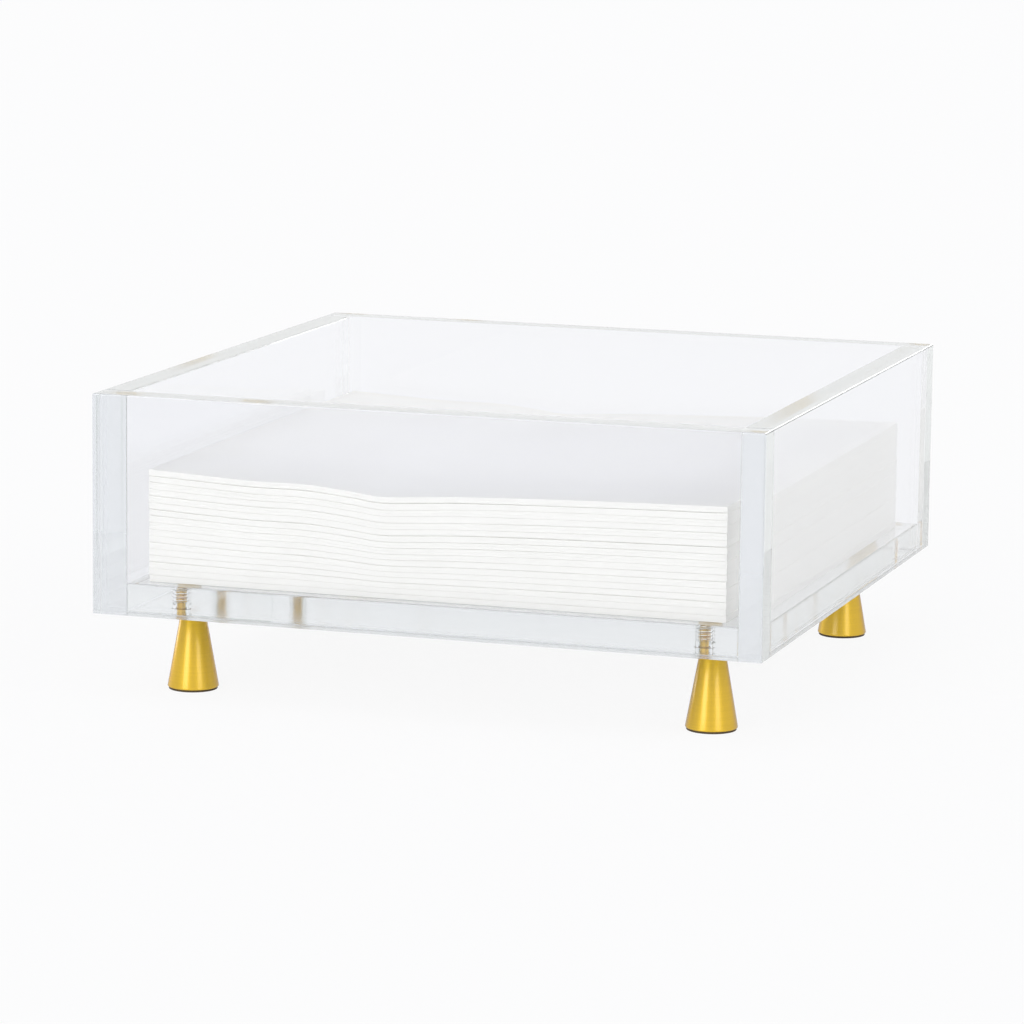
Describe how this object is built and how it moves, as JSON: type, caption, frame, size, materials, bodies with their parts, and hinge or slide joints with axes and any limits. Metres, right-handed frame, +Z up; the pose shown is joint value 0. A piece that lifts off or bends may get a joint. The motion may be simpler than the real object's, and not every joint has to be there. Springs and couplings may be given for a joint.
{
  "type": "napkin holder",
  "caption": "Open square tray of thick clear acrylic on tapered gold feet, holding a stack of folded paper napkins.",
  "frame": {"origin": "middle of the footprint, on the surface that the foot pads stand on", "axes": "+X to the right, +Y to the rear, +Z up; the pictured front is -Y"},
  "size_m": [0.19, 0.19, 0.085],
  "materials": {
    "acrylic": "polished",
    "satin_gold": "satin",
    "stud_gold": "gloss",
    "pad": "matte",
    "paper": "matte"
  },
  "bodies": {
    "tray": {"base_panel": "acrylic", "front_panel": "acrylic", "rear_panel": "acrylic", "left_panel": "acrylic", "right_panel": "acrylic"},
    "pad_front_left": {"pad_front_left": "pad"},
    "foot_front_left": {"foot_front_left": "satin_gold", "stud_front_left": "stud_gold"},
    "pad_front_right": {"pad_front_right": "pad"},
    "foot_front_right": {"foot_front_right": "satin_gold", "stud_front_right": "stud_gold"},
    "pad_rear_left": {"pad_rear_left": "pad"},
    "foot_rear_left": {"foot_rear_left": "satin_gold", "stud_rear_left": "stud_gold"},
    "pad_rear_right": {"pad_rear_right": "pad"},
    "foot_rear_right": {"foot_rear_right": "satin_gold", "stud_rear_right": "stud_gold"},
    "napkin_stack": {"napkin_01": "paper", "napkin_02": "paper", "napkin_03": "paper", "napkin_04": "paper", "napkin_05": "paper", "napkin_06": "paper", "napkin_07": "paper", "napkin_08": "paper", "napkin_09": "paper", "napkin_10": "paper", "napkin_11": "paper", "napkin_12": "paper", "napkin_13": "paper", "napkin_14": "paper", "napkin_15": "paper", "napkin_16": "paper"},
    "top_napkin": {"napkin_17": "paper"}
  },
  "joints": [
    {"name": "foot_front_left_travel", "type": "slide", "parent": "tray", "child": "pad_front_left", "axis": [0, 0, -1], "range_m": [0, 0.005]},
    {"name": "foot_front_left_turn", "type": "hinge", "parent": "pad_front_left", "child": "foot_front_left", "pos_m": [-0.075, -0.071, 0], "axis": [0, 0, -1], "range_deg": [0, 1800]},
    {"name": "foot_front_right_travel", "type": "slide", "parent": "tray", "child": "pad_front_right", "axis": [0, 0, -1], "range_m": [0, 0.005]},
    {"name": "foot_front_right_turn", "type": "hinge", "parent": "pad_front_right", "child": "foot_front_right", "pos_m": [0.075, -0.071, 0], "axis": [0, 0, -1], "range_deg": [0, 1800]},
    {"name": "foot_rear_left_travel", "type": "slide", "parent": "tray", "child": "pad_rear_left", "axis": [0, 0, -1], "range_m": [0, 0.005]},
    {"name": "foot_rear_left_turn", "type": "hinge", "parent": "pad_rear_left", "child": "foot_rear_left", "pos_m": [-0.075, 0.071, 0], "axis": [0, 0, -1], "range_deg": [0, 1800]},
    {"name": "foot_rear_right_travel", "type": "slide", "parent": "tray", "child": "pad_rear_right", "axis": [0, 0, -1], "range_m": [0, 0.005]},
    {"name": "foot_rear_right_turn", "type": "hinge", "parent": "pad_rear_right", "child": "foot_rear_right", "pos_m": [0.075, 0.071, 0], "axis": [0, 0, -1], "range_deg": [0, 1800]},
    {"name": "napkin_stack_lift", "type": "slide", "parent": "tray", "child": "napkin_stack", "axis": [0, 0, 1], "range_m": [0, 0.06]},
    {"name": "top_napkin_lift", "type": "slide", "parent": "napkin_stack", "child": "top_napkin", "axis": [0, 0, 1], "range_m": [0, 0.04]}
  ],
  "couplings": [
    {"joint": "foot_front_left_travel", "follows": "foot_front_left_turn", "m_per_rad": 0.00015915},
    {"joint": "foot_front_right_travel", "follows": "foot_front_right_turn", "m_per_rad": 0.00015915},
    {"joint": "foot_rear_left_travel", "follows": "foot_rear_left_turn", "m_per_rad": 0.00015915},
    {"joint": "foot_rear_right_travel", "follows": "foot_rear_right_turn", "m_per_rad": 0.00015915}
  ]
}
